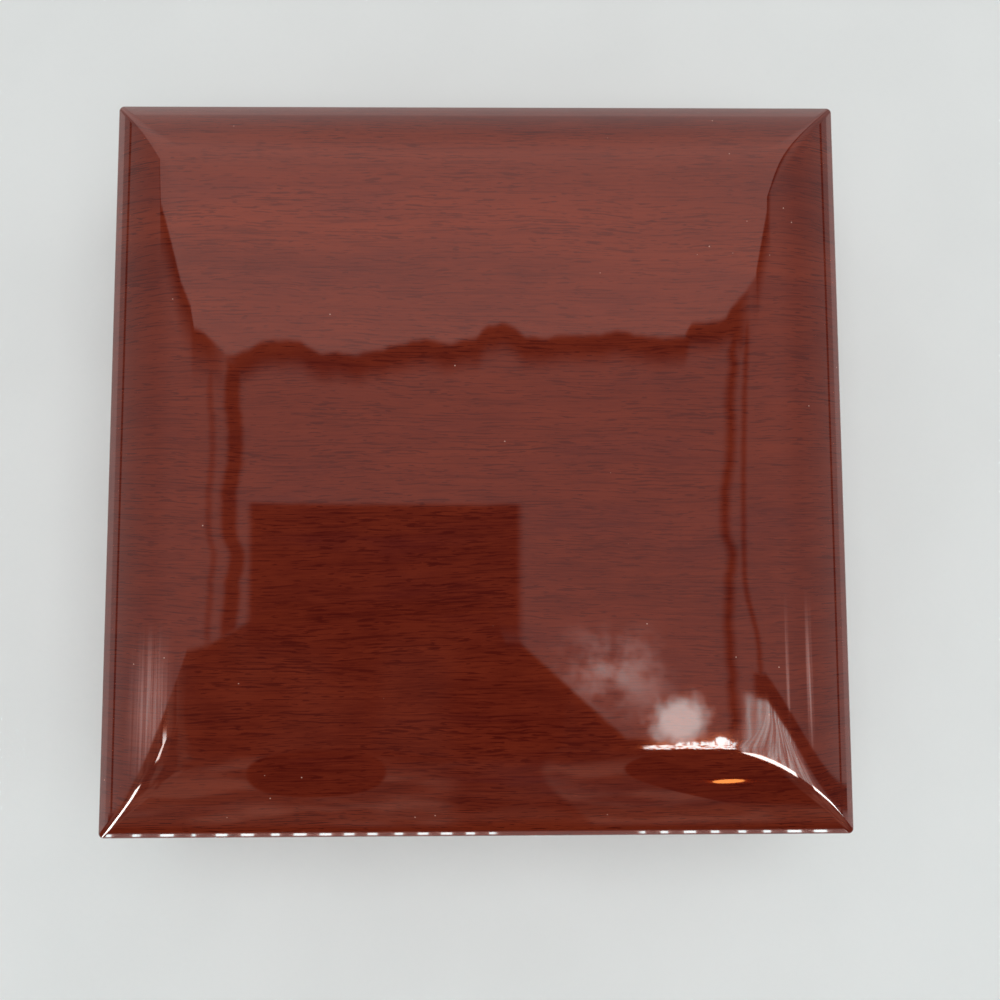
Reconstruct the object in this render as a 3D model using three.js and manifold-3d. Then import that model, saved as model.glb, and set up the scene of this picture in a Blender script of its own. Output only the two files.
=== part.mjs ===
// A stacking jewelry box: a base tier, an upper tier that nests on it and a hinged pillow-top lid.
// Millimetres. +X is right, +Y is back, +Z is up. The origin is on the table, under the middle of the box.
import * as THREE from "three";
import { mergeVertices } from "three/addons/utils/BufferGeometryUtils.js";
import Module from "manifold-3d";

// Driving dimensions of the box
const boxSide = 203;
const wallThickness = 10;
const cornerRadius = 1.4;
const edgeEase = 1;
const baseWallHeight = 24.8;
const upperWallHeight = 20;

// Lid
const lidRailHeight = 7.5;
const lidPanelEdge = 1.5;
const crownRise = 9;
const bevelWidth = 25.4;
const rimFillet = 1;
const lidLiningThickness = 1.2;
const mirrorSide = 150;
const mirrorThickness = 1.5;
const notchWidth = 38;
const notchDepth = 3;
const notchHeight = 3;

// Bottoms, pads and felt
const feltThickness = 1.2;
const feltInset = 2;
const baseBottomThickness = 3;
const upperBottomThickness = 2.5;
const grooveDepth = 5;
const padThickness = 1.2;

// Lining boards with the nesting lip
const linerThickness = 2.4;
const lipHeight = 3;
const lipClearance = 0.4;
const lipHeadroom = 0.5;
const lipChamfer = 0.6;

// Dividers and ring rolls
const dividerThickness = 3;
const dividerBelowWall = 1;
const baseDividerY = 8;
const upperDividerY = -2;
const crossDividerX = 30;
const ringRollCount = 6;
const ringBoardThickness = 1.2;
const ringRollHeight = 11;
const ringRollCrown = 5;
const ringRollEnd = 1.5;

// Hinges, their screws and the chamfers along the back that stop the lid
const hingeX = 62;
const lidOpening = 95;
const stopMargin = 1;
const chamferDepth = 2.5;
const leafLength = 30;
const leafReach = 4.6;
const leafThickness = 1;
const barrelRadius = 1.6;
const barrelGap = 0.2;
const knuckleCount = 5;
const knuckleGap = 0.3;
const pinRadius = 0.75;
const pinClearance = 0.1;
const screwSpacing = 18;
const screwLength = 6;
const screwHeadRadius = 1.5;
const screwShankRadius = 0.8;
const screwTip = 1.5;
const screwSlotWidth = 0.4;
const screwSlotDepth = 0.4;

// Clearances, and how far a cutting shape runs past what it cuts
const fitGap = 0.3;
const screwGap = 0.15;
const cutPast = 1;

// Facets
const cornerSegments = 4;
const bevelSegments = 10;
const roundSegments = 16;

// Levels that the pieces share, from the table up
const half = boxSide / 2;
const inner = half - wallThickness;
const lined = inner - linerThickness;
const baseLow = feltThickness;
const baseTop = baseLow + baseWallHeight;
const upperTop = baseTop + upperWallHeight;
const lidSeat = upperTop;
const panelLow = lidSeat + lidRailHeight;
const rimLevel = panelLow + lidPanelEdge;
const crownLevel = rimLevel + crownRise;
const baseFloor = baseLow + baseBottomThickness;
const upperPanelLow = baseTop + lipHeight + lipHeadroom;
const upperFloor = upperPanelLow + upperBottomThickness;
const hingeY = half - chamferDepth;

// Materials
function finish(color, roughness, metalness = 0) {
  return new THREE.MeshStandardMaterial({ color, roughness, metalness });
}
const lacqueredVeneer = finish(0x7d3a30, 0.08);
const stainedPlywood = finish(0x5a3424, 0.6);
const baseFelt = finish(0x2e241f, 0.95);
const velvet = finish(0xcdbb9c, 0.9);
const brass = finish(0xc9a04e, 0.25, 1);
const mirrorGlass = finish(0xe4e8ea, 0.02, 1);

// Solids for joining and cutting
const wasm = await Module();
wasm.setup();

function toSolid(geometry) {
  const bare = geometry.clone();
  bare.deleteAttribute("normal");
  bare.deleteAttribute("uv");
  const merged = mergeVertices(bare, 1e-4);
  return new wasm.Manifold(
    new wasm.Mesh({
      numProp: 3,
      vertProperties: new Float32Array(merged.getAttribute("position").array),
      triVerts: new Uint32Array(merged.index.array),
    }),
  );
}

function toGeometry(solid) {
  const mesh = solid.getMesh();
  const geometry = new THREE.BufferGeometry();
  geometry.setAttribute("position", new THREE.BufferAttribute(mesh.vertProperties, 3));
  geometry.setIndex(new THREE.BufferAttribute(mesh.triVerts, 1));
  geometry.computeVertexNormals();
  return geometry;
}

// Basic shapes, placed by their limits
function box(low, high) {
  const size = low.map((value, i) => high[i] - value);
  const middle = low.map((value, i) => (high[i] + value) / 2);
  return new THREE.BoxGeometry(...size).translate(...middle);
}

function squareSlab(halfSide, low, high) {
  return box([-halfSide, -halfSide, low], [halfSide, halfSide, high]);
}

function shapeOf(points) {
  return new THREE.Shape(points.map(([x, y]) => new THREE.Vector2(x, y)));
}

function extrudeAlongX(section, length, options = {}) {
  const upright = new THREE.ExtrudeGeometry(section, {
    depth: length,
    bevelEnabled: false,
    curveSegments: 2 * cornerSegments,
    ...options,
  });
  return upright.translate(0, 0, -length / 2).rotateX(Math.PI / 2).rotateZ(Math.PI / 2);
}

function cylinderAlongX(radius, length, centre) {
  const cylinder = new THREE.CylinderGeometry(radius, radius, length, roundSegments);
  return cylinder.rotateZ(Math.PI / 2).translate(...centre);
}

function roundedSquare(halfSide, radius) {
  const reach = halfSide - radius;
  const shape = new THREE.Shape();
  [
    [reach, -reach, -Math.PI / 2],
    [reach, reach, 0],
    [-reach, reach, Math.PI / 2],
    [-reach, -reach, Math.PI],
  ].forEach(([x, y, start]) => shape.absarc(x, y, radius, start, start + Math.PI / 2));
  return shape;
}

// The upright column that rounds the box's four corners in plan
const cornerColumn = toSolid(
  new THREE.ExtrudeGeometry(roundedSquare(half, cornerRadius), {
    depth: crownLevel + 2 * cutPast,
    bevelEnabled: false,
    curveSegments: cornerSegments,
  }).translate(0, 0, -cutPast),
);

// One side of a square frame, mitred at both ends, as the front side.
// The profile's x is the inset from the box's outer face and its y is the height.
function mitredSide(profile) {
  const side = new THREE.ExtrudeGeometry(profile, {
    depth: 1,
    bevelEnabled: false,
    curveSegments: cornerSegments,
  });
  const position = side.getAttribute("position");
  for (let i = 0; i < position.count; i++) {
    const reach = half - position.getX(i);
    const along = 2 * position.getZ(i) - 1;
    position.setXYZ(i, along * reach, -reach, position.getY(i));
  }
  return side;
}

// The profile of a wall whose outer edges are eased; innerPoints run down its inner side
function wallProfile(low, high, innerPoints) {
  const profile = new THREE.Shape();
  profile.moveTo(edgeEase, low);
  profile.absarc(edgeEase, low + edgeEase, edgeEase, -Math.PI / 2, -Math.PI, true);
  profile.absarc(edgeEase, high - edgeEase, edgeEase, Math.PI, Math.PI / 2, true);
  innerPoints.forEach(([inset, level]) => profile.lineTo(inset, level));
  return profile;
}

// The lid rail meets the pillow panel above, so only its lower edge is eased
function railProfile() {
  const profile = new THREE.Shape();
  profile.moveTo(edgeEase, lidSeat);
  profile.absarc(edgeEase, lidSeat + edgeEase, edgeEase, -Math.PI / 2, -Math.PI, true);
  profile.lineTo(0, panelLow);
  profile.lineTo(wallThickness, panelLow);
  profile.lineTo(wallThickness, lidSeat);
  return profile;
}

// A lining board stands on the pad and its lip, set back from the wall face, rises above the wall
function linerProfile(low, wallTop) {
  const lipOuter = wallThickness + lipClearance;
  const innerFace = wallThickness + linerThickness;
  const lipTop = wallTop + lipHeight;
  return shapeOf([
    [wallThickness, low],
    [wallThickness, wallTop],
    [lipOuter, wallTop],
    [lipOuter, lipTop - lipChamfer],
    [lipOuter + lipChamfer, lipTop],
    [innerFace, lipTop],
    [innerFace, low],
  ]);
}

const sides = ["front", "right", "back", "left"];
const part = new THREE.Group();
part.name = "stacking_jewelry_box";
const baseTier = new THREE.Group();
const upperTier = new THREE.Group();
const lid = new THREE.Group();
part.add(baseTier, upperTier, lid);

function addMesh(group, name, geometry, material) {
  const mesh = new THREE.Mesh(geometry, material);
  mesh.name = name;
  group.add(mesh);
  return mesh;
}

// Four mitred sides, turned into place and cut there by each solid in cuts
function addFrame(group, prefix, profile, material, cuts = []) {
  sides.forEach((side, quarter) => {
    const turned = mitredSide(profile).rotateZ((quarter * Math.PI) / 2);
    const whole = toSolid(turned).intersect(cornerColumn);
    const solid = cuts.reduce((rest, cut) => rest.subtract(cut), whole);
    addMesh(group, `${prefix}_${side}`, toGeometry(solid), material);
  });
}

// Hinge pieces are drawn with the barrel on the X axis and the leaf in front of it, just below z = 0
const leafEdge = -(barrelGap + barrelRadius);
const leafEnd = leafEdge - leafReach;
const knuckleLength = leafLength / knuckleCount;
const screwXs = [-screwSpacing / 2, screwSpacing / 2];
const screwY = leafEdge - leafReach / 2;

// A countersunk screw with its head up at z = 0, widened all over by the gap to make its hole
function screwBody(gap, length) {
  const head = screwHeadRadius + gap;
  const shank = screwShankRadius + gap;
  const coneDepth = head - shank;
  const profile = [
    [0, -length],
    [shank, -length + screwTip],
    [shank, -coneDepth],
    [head, 0],
    [0, 0],
  ].map(([x, y]) => new THREE.Vector2(x, y));
  return new THREE.LatheGeometry(profile, roundSegments).rotateX(Math.PI / 2);
}

function screw() {
  const slot = box(
    [-screwHeadRadius - cutPast, -screwSlotWidth / 2, -screwSlotDepth],
    [screwHeadRadius + cutPast, screwSlotWidth / 2, cutPast],
  );
  return toGeometry(toSolid(screwBody(0, screwLength)).subtract(toSolid(slot)));
}

// Everything that a leaf, its barrel and its screws take out of the wood below z = 0
function leafMortise() {
  const seat = box(
    [-leafLength / 2 - fitGap, leafEnd - fitGap, -leafThickness],
    [leafLength / 2 + fitGap, 0, cutPast],
  );
  const room = cylinderAlongX(barrelRadius + barrelGap, leafLength + 2 * fitGap, [0, 0, 0]);
  return screwXs.reduce((solid, x) => {
    const hole = screwBody(screwGap, screwLength + fitGap).translate(x, screwY, 0);
    return solid.add(toSolid(hole));
  }, toSolid(seat).add(toSolid(room)));
}

// The leaf carries every second knuckle, counted from firstKnuckle
function leaf(firstKnuckle) {
  const plate = box(
    [-leafLength / 2, leafEnd, -leafThickness],
    [leafLength / 2, leafEdge, 0],
  );
  let solid = toSolid(plate);
  for (let i = firstKnuckle; i < knuckleCount; i += 2) {
    const low = -leafLength / 2 + i * knuckleLength + (i > 0 ? knuckleGap / 2 : 0);
    const next = -leafLength / 2 + (i + 1) * knuckleLength;
    const high = next - (i < knuckleCount - 1 ? knuckleGap / 2 : 0);
    const middle = (low + high) / 2;
    const tab = box([low, leafEdge - leafThickness, -leafThickness], [high, 0, 0]);
    const barrel = cylinderAlongX(barrelRadius, high - low, [middle, 0, 0]);
    solid = solid.add(toSolid(tab)).add(toSolid(barrel));
  }
  const bore = cylinderAlongX(pinRadius + pinClearance, leafLength + 2 * cutPast, [0, 0, 0]);
  solid = solid.subtract(toSolid(bore));
  screwXs.forEach((x) => {
    const hole = screwBody(screwGap, screwLength).translate(x, screwY, 0);
    solid = solid.subtract(toSolid(hole));
  });
  return toGeometry(solid);
}

// Cuts for the two hinges, at their place along the back; the lid's are upside down
function hingeCuts(upsideDown) {
  const cuts = [-hingeX, hingeX].map((x) => {
    const place = new THREE.Matrix4().makeTranslation(x, hingeY, lidSeat);
    if (upsideDown) place.scale(new THREE.Vector3(1, 1, -1));
    return leafMortise().transform(place.elements);
  });
  return cuts[0].add(cuts[1]);
}

// The V along the back, with its point on the hinges' axis: its two slopes meet when the lid is open
function backChamfer() {
  const reach = chamferDepth + cutPast;
  const rise = reach * Math.tan(((lidOpening + stopMargin) / 2) * (Math.PI / 180));
  const section = shapeOf([
    [hingeY, lidSeat],
    [hingeY + reach, lidSeat - rise],
    [hingeY + reach, lidSeat + rise],
  ]);
  return extrudeAlongX(section, boxSide + 2 * cutPast);
}

function addHinges() {
  [
    ["hinge_left", -hingeX],
    ["hinge_right", hingeX],
  ].forEach(([name, x]) => {
    const tierLeaf = addMesh(upperTier, `${name}_tier_leaf`, leaf(0), brass);
    tierLeaf.position.set(x, hingeY, lidSeat);
    const lidLeaf = addMesh(lid, `${name}_lid_leaf`, leaf(1), brass);
    lidLeaf.position.set(x, hingeY, lidSeat);
    lidLeaf.scale.z = -1;
    const pin = cylinderAlongX(pinRadius, leafLength, [x, hingeY, lidSeat]);
    addMesh(upperTier, `${name}_pin`, pin, brass);
    screwXs.forEach((screwX, i) => {
      const tierScrew = addMesh(upperTier, `${name}_tier_screw_${i + 1}`, screw(), brass);
      tierScrew.position.set(x + screwX, hingeY + screwY, lidSeat);
      const lidScrew = addMesh(lid, `${name}_lid_screw_${i + 1}`, screw(), brass);
      lidScrew.position.set(x + screwX, hingeY + screwY, lidSeat);
      lidScrew.scale.z = -1;
    });
  });
}

// A lined divider with a round top, standing on the pad; it runs along X, or along Y when turned
function divider(length, low, high) {
  const radius = dividerThickness / 2;
  const section = new THREE.Shape();
  section.moveTo(-radius, low);
  section.lineTo(radius, low);
  section.absarc(0, high - radius, radius, 0, Math.PI);
  return extrudeAlongX(section, length);
}

// One long divider and two short ones from its face to the liner on the side that crossSide names
function addDividers(group, prefix, longY, crossSide, floor, wallTop) {
  const low = floor + padThickness;
  const high = wallTop - dividerBelowWall;
  const long = divider(2 * (lined - fitGap), low, high);
  addMesh(group, `${prefix}_divider_long`, long, velvet).position.y = longY;
  const nearEnd = longY + crossSide * (dividerThickness / 2 + fitGap);
  const farEnd = crossSide * (lined - fitGap);
  [
    ["left", -crossDividerX],
    ["right", crossDividerX],
  ].forEach(([side, x]) => {
    const short = divider(Math.abs(farEnd - nearEnd), low, high).rotateZ(Math.PI / 2);
    const mesh = addMesh(group, `${prefix}_divider_cross_${side}`, short, velvet);
    mesh.position.set(x, (nearEnd + farEnd) / 2, 0);
  });
}

// Base tier
const baseWall = wallProfile(baseLow, baseTop, [
  [wallThickness, baseTop],
  [wallThickness, baseFloor],
  [grooveDepth, baseFloor],
  [grooveDepth, baseLow],
]);
addMesh(baseTier, "base_felt", squareSlab(half - feltInset, 0, feltThickness), baseFelt);
addFrame(baseTier, "base_wall", baseWall, lacqueredVeneer);
const baseBottom = squareSlab(half - grooveDepth - fitGap, baseLow, baseFloor);
addMesh(baseTier, "base_bottom_panel", baseBottom, stainedPlywood);
const basePad = squareSlab(inner - fitGap, baseFloor, baseFloor + padThickness);
addMesh(baseTier, "base_floor_pad", basePad, velvet);
addFrame(baseTier, "base_liner", linerProfile(baseFloor + padThickness, baseTop), velvet);
addDividers(baseTier, "base", baseDividerY, 1, baseFloor, baseTop);

// Upper tier
const upperWall = wallProfile(baseTop, upperTop, [
  [wallThickness, upperTop],
  [wallThickness, upperFloor],
  [grooveDepth, upperFloor],
  [grooveDepth, upperPanelLow],
  [wallThickness, upperPanelLow],
  [wallThickness, baseTop],
]);
const lidStop = toSolid(backChamfer());
addFrame(upperTier, "upper_wall", upperWall, lacqueredVeneer, [lidStop, hingeCuts(false)]);
const upperBottom = squareSlab(half - grooveDepth - fitGap, upperPanelLow, upperFloor);
addMesh(upperTier, "upper_bottom_panel", upperBottom, stainedPlywood);
const upperPad = squareSlab(inner - fitGap, upperFloor, upperFloor + padThickness);
addMesh(upperTier, "upper_floor_pad", upperPad, velvet);
addFrame(upperTier, "upper_liner", linerProfile(upperFloor + padThickness, upperTop), velvet);
addDividers(upperTier, "upper", upperDividerY, -1, upperFloor, upperTop);

// The bank of ring rolls behind the long divider
const bankFront = upperDividerY + dividerThickness / 2 + fitGap;
const bankBack = lined - fitGap;
const bankHalfWidth = lined - fitGap;
const boardLow = upperFloor + padThickness;
const boardTop = boardLow + ringBoardThickness;
const rollPitch = (bankBack - bankFront) / ringRollCount;
const ringBoard = box([-bankHalfWidth, bankFront, boardLow], [bankHalfWidth, bankBack, boardTop]);
addMesh(upperTier, "ring_roll_board", ringBoard, velvet);

// A soft roll with a flat foot, a domed back and softened ends
function ringRoll() {
  const halfWidth = (rollPitch - fitGap) / 2 - ringRollEnd;
  const height = ringRollHeight - 2 * ringRollEnd;
  const section = new THREE.Shape();
  section.moveTo(-halfWidth, 0);
  section.lineTo(halfWidth, 0);
  section.absellipse(0, height - ringRollCrown, halfWidth, ringRollCrown, 0, Math.PI);
  const softened = {
    bevelEnabled: true,
    bevelThickness: ringRollEnd,
    bevelSize: ringRollEnd,
    bevelSegments: 2,
  };
  const roll = extrudeAlongX(section, 2 * (bankHalfWidth - ringRollEnd), softened);
  return roll.translate(0, 0, ringRollEnd);
}
for (let i = 0; i < ringRollCount; i++) {
  const roll = addMesh(upperTier, `ring_roll_${i + 1}`, ringRoll(), velvet);
  roll.position.set(0, bankFront + (i + 0.5) * rollPitch, boardTop);
}

// The pillow panel: every level is a square, so the four bevels meet in mitred hips
function pillowPanel() {
  const slope = 2 * Math.atan(crownRise / bevelWidth);
  const bevelRadius = bevelWidth / Math.sin(slope);
  const filletTurn = Math.PI / 2 - slope;
  const filletLow = rimLevel - rimFillet * Math.tan(filletTurn / 2);
  const outline = [[0, panelLow], [half, panelLow]];
  for (let i = 0; i <= cornerSegments; i++) {
    const angle = (filletTurn * i) / cornerSegments;
    outline.push([
      half - rimFillet * (1 - Math.cos(angle)),
      filletLow + rimFillet * Math.sin(angle),
    ]);
  }
  const filletInset = rimFillet * (1 - Math.cos(filletTurn));
  for (let i = 1; i <= bevelSegments; i++) {
    const angle = slope * (1 - i / bevelSegments);
    const inset = bevelWidth - bevelRadius * Math.sin(angle);
    const drop = bevelRadius * (1 - Math.cos(angle));
    if (inset > filletInset) outline.push([half - inset, crownLevel - drop]);
  }
  outline.push([0, crownLevel]);
  const points = outline.map(([reach, level]) => new THREE.Vector2(reach * Math.SQRT2, level));
  const solid = new THREE.LatheGeometry(points, 4, Math.PI / 4).rotateX(Math.PI / 2);
  return toGeometry(toSolid(solid).intersect(cornerColumn));
}

// The finger notch under the lid's front edge: a shallow arc in plan
function fingerNotch() {
  const radius = notchDepth / 2 + (notchWidth * notchWidth) / (8 * notchDepth);
  const height = notchHeight + cutPast;
  const disc = new THREE.CylinderGeometry(radius, radius, height, 8 * roundSegments);
  const middle = lidSeat + notchHeight - height / 2;
  return disc.rotateX(Math.PI / 2).translate(0, notchDepth - half - radius, middle);
}

addMesh(lid, "lid_panel", pillowPanel(), lacqueredVeneer);
const railCuts = [toSolid(fingerNotch()), lidStop, hingeCuts(true)];
addFrame(lid, "lid_rail", railProfile(), lacqueredVeneer, railCuts);
const liningLow = panelLow - lidLiningThickness;
addMesh(lid, "lid_lining", squareSlab(inner - fitGap, liningLow, panelLow), velvet);
const mirror = squareSlab(mirrorSide / 2, liningLow - mirrorThickness, liningLow);
addMesh(lid, "lid_mirror", mirror, mirrorGlass);
addHinges();

export default part;
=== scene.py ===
"""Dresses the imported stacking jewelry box: lacquered veneer, velvet, brass hinges and a mirror."""

import math

import bmesh
import bpy
from mathutils import Matrix, Vector, noise


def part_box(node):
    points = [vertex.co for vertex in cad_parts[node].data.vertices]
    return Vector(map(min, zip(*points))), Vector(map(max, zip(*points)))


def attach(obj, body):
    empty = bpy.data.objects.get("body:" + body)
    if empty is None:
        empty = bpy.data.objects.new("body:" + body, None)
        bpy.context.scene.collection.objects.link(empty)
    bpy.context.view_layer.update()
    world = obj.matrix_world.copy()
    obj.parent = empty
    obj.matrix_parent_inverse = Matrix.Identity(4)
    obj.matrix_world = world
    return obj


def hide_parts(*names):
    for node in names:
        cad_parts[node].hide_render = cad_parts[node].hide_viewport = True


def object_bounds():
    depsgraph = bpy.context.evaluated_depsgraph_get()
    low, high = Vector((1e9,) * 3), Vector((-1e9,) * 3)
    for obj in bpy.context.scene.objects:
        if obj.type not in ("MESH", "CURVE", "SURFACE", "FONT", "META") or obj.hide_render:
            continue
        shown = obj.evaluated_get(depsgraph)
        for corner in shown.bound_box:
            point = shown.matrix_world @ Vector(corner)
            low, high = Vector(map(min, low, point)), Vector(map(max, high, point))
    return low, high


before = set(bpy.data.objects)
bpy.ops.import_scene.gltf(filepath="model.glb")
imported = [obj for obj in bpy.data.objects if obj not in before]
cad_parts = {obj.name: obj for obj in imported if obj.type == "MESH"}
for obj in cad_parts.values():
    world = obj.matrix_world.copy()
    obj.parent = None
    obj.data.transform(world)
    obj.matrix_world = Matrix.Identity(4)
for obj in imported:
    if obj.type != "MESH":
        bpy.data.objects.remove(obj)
cad_low, cad_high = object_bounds()

MM = 0.001

# How close points are to be joined, in the pieces made here and in the CAD nodes' loose triangles
WELD = 1e-7
NODE_WELD = 1e-6

# Sizes that the source gives its pieces and that no box of a node shows
CORNER_RADIUS = 1.4 * MM
CROWN_RISE = 9 * MM
BEVEL_WIDTH = 25.4 * MM
RIM_FILLET = 1 * MM
LIP_CLEARANCE = 0.4 * MM

# The camera, fitted to the lid's four rim corners in the photograph
CAMERA_PLACE = (2.9 * MM, -31.4 * MM, 316.4 * MM)
CAMERA_TILT = math.radians(4.48)
CAMERA_YAW = math.radians(-0.73)
CAMERA_ROLL = math.radians(-0.19)
CAMERA_LENS = 34.2
CAMERA_SENSOR = 36

# The level of the flat top, from which the veneer is laid, in millimetres
VENEER_TOP = cad_high.z / MM

# How bright the backdrop looks, and the floor where it runs out into it
BACKDROP = 0.74

# The walls in quarter turns from the front, and half the box's side
SIDES = ("front", "right", "back", "left")
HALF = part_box("lid_panel")[1].x

WHITE = (1, 1, 1, 1)


def add_camera():
    """The view that the photograph was taken from."""
    data = bpy.data.cameras.new("camera")
    data.lens = CAMERA_LENS
    data.sensor_width = CAMERA_SENSOR
    data.clip_start = 10 * MM
    data.clip_end = 20
    camera = bpy.data.objects.new("camera", data)
    yaw = Matrix.Rotation(CAMERA_YAW, 4, "Y")
    tilt = Matrix.Rotation(CAMERA_TILT, 4, "X")
    roll = Matrix.Rotation(CAMERA_ROLL, 4, "Z")
    camera.matrix_world = Matrix.Translation(CAMERA_PLACE) @ yaw @ tilt @ roll
    bpy.context.scene.collection.objects.link(camera)
    bpy.context.scene.camera = camera


# Node helpers

def srgb(red, green, blue):
    """A colour given as it shows on screen, from 0 to 255, as the linear colour that nodes take."""
    linear = []
    for value in (red, green, blue):
        share = value / 255
        low = share / 12.92
        linear.append(low if share <= 0.04045 else ((share + 0.055) / 1.055) ** 2.4)
    return (*linear, 1)


def connect(tree, value, socket):
    if isinstance(value, Field):
        tree.links.new(value.socket, socket)
    else:
        socket.default_value = value


class Field:
    """A number, vector or colour that varies over a surface. Arithmetic on it makes Math nodes."""

    def __init__(self, tree, socket):
        self.tree = tree
        self.socket = socket

    def math(self, operation, *others):
        node = self.tree.nodes.new("ShaderNodeMath")
        node.operation = operation
        for value, socket in zip((self, *others), node.inputs):
            connect(self.tree, value, socket)
        return Field(self.tree, node.outputs[0])

    def __add__(self, other):
        return self.math("ADD", other)

    def __sub__(self, other):
        return self.math("SUBTRACT", other)

    def __mul__(self, other):
        return self.math("MULTIPLY", other)

    def __neg__(self):
        return self.math("MULTIPLY", -1.0)

    def size(self):
        return self.math("ABSOLUTE")

    def squared(self):
        return self * self

    def inverse(self):
        """1 where this is 0, and 0 where it is 1."""
        return -self + 1

    def least(self, other):
        return self.math("MINIMUM", other)

    def most(self, other):
        return self.math("MAXIMUM", other)

    def rise(self, start, end):
        """0 below start and 1 above end, smoothly between them; start may be the higher one."""
        node = self.tree.nodes.new("ShaderNodeMapRange")
        node.interpolation_type = "SMOOTHSTEP"
        low, high = min(start, end), max(start, end)
        connect(self.tree, self, node.inputs["Value"])
        node.inputs["From Min"].default_value = low
        node.inputs["From Max"].default_value = high
        node.inputs["To Min"].default_value = 0 if start < end else 1
        node.inputs["To Max"].default_value = 1 if start < end else 0
        return Field(self.tree, node.outputs["Result"])

    def between(self, start, full, fade, end):
        """0 up to start, 1 from full to fade, and 0 again from end on."""
        return self.rise(start, full) * self.rise(end, fade)

    def ramp(self, start, length, slope):
        """0 up to start, then straight at that slope for that length, and level after it."""
        return (self - start).most(0).least(length) * slope

    def near(self, centre, reach):
        """1 at the centre, falling smoothly to 0 at that reach on both sides."""
        return (self - centre).size().rise(reach, 0)

    def towards(self, target, share):
        """This value, moved that share of the way towards the target."""
        return self + (-self + target) * share

    def parts(self):
        node = self.tree.nodes.new("ShaderNodeSeparateXYZ")
        connect(self.tree, self, node.inputs[0])
        return [Field(self.tree, socket) for socket in node.outputs]

    def stretched(self, scale, offset=(0, 0, 0)):
        node = self.tree.nodes.new("ShaderNodeVectorMath")
        node.operation = "MULTIPLY_ADD"
        connect(self.tree, self, node.inputs[0])
        node.inputs[1].default_value = scale
        node.inputs[2].default_value = offset
        return Field(self.tree, node.outputs[0])

    def per(self, *sizes):
        """This position counted in steps of those sizes, so that noise on it has marks as large."""
        return self.stretched([1 / size for size in sizes])

    def noise(self, detail=2.0, roughness=0.5):
        """Smooth noise about 0.5, with features one unit of this position across."""
        node = self.tree.nodes.new("ShaderNodeTexNoise")
        connect(self.tree, self, node.inputs["Vector"])
        node.inputs["Scale"].default_value = 1
        node.inputs["Detail"].default_value = detail
        node.inputs["Roughness"].default_value = roughness
        return Field(self.tree, node.outputs["Fac"])

    def cells(self):
        """The distance to the nearest of scattered points, one for each unit of this position."""
        node = self.tree.nodes.new("ShaderNodeTexVoronoi")
        node.feature = "F1"
        connect(self.tree, self, node.inputs["Vector"])
        node.inputs["Scale"].default_value = 1
        return Field(self.tree, node.outputs["Distance"])


def joined(tree, x, y, z):
    node = tree.nodes.new("ShaderNodeCombineXYZ")
    for value, socket in zip((x, y, z), node.inputs):
        connect(tree, value, socket)
    return Field(tree, node.outputs[0])


def blended(tree, share, first, second):
    """The first colour, moved that share of the way to the second."""
    node = tree.nodes.new("ShaderNodeMix")
    node.data_type = "RGBA"
    colour_inputs = [socket for socket in node.inputs if socket.type == "RGBA"]
    connect(tree, share, node.inputs["Factor"])
    connect(tree, first, colour_inputs[0])
    connect(tree, second, colour_inputs[1])
    colour_output = [socket for socket in node.outputs if socket.type == "RGBA"][0]
    return Field(tree, colour_output)


class Finish:
    """A material with one Principled shader. Settings are the shader's own sockets, by name."""

    def __init__(self, name, settings):
        self.material = bpy.data.materials.new(name)
        self.material.use_nodes = True
        self.tree = self.material.node_tree
        self.shader = self.tree.nodes["Principled BSDF"]
        for socket, value in settings.items():
            self.shader.inputs[socket].default_value = value

    def place(self):
        """Where a point lies in the model's own frame, in millimetres, wherever its body has moved."""
        node = self.tree.nodes.new("ShaderNodeTexCoord")
        return Field(self.tree, node.outputs["Object"]).per(MM, MM, MM)

    def facing(self):
        """The surface's direction in the model's own frame."""
        node = self.tree.nodes.new("ShaderNodeTexCoord")
        return Field(self.tree, node.outputs["Normal"])

    def drive(self, socket, field):
        connect(self.tree, field, self.shader.inputs[socket])

    def emboss(self, height, depth, socket="Normal"):
        """Relief from a height field of 0 to 1, that many metres deep."""
        node = self.tree.nodes.new("ShaderNodeBump")
        node.inputs["Strength"].default_value = 1
        node.inputs["Distance"].default_value = depth
        connect(self.tree, height, node.inputs["Height"])
        self.tree.links.new(node.outputs["Normal"], self.shader.inputs[socket])


# Materials, with lengths in millimetres

def grain_noise(place, axis, length, width, seed, detail=2.0, roughness=0.5):
    """Noise with features that long along the grain's axis and that wide across it."""
    scale = [1 / width] * 3
    scale[axis] = 1 / length
    offset = (seed * 3.7, seed * 5.3, seed * 7.9)
    return place.stretched(scale, offset).noise(detail, roughness)


def unrolled_across(finish, axis):
    """How far a point lies across the grain, as if the veneer were peeled off and laid flat.

    Where a face turns down away from the top, its drop counts as distance across the grain. Where it
    turns down along the grain, the grain runs straight on over it."""
    coordinates = finish.place().parts()
    facing = finish.facing().parts()
    across = facing[1 - axis]
    tiny = 0.0001
    sideways = across * across + facing[axis] * facing[axis] + tiny
    turned = (across * across.size()).math("DIVIDE", sideways)
    drop = -coordinates[2] + VENEER_TOP
    return coordinates[1 - axis] + turned * drop


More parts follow.
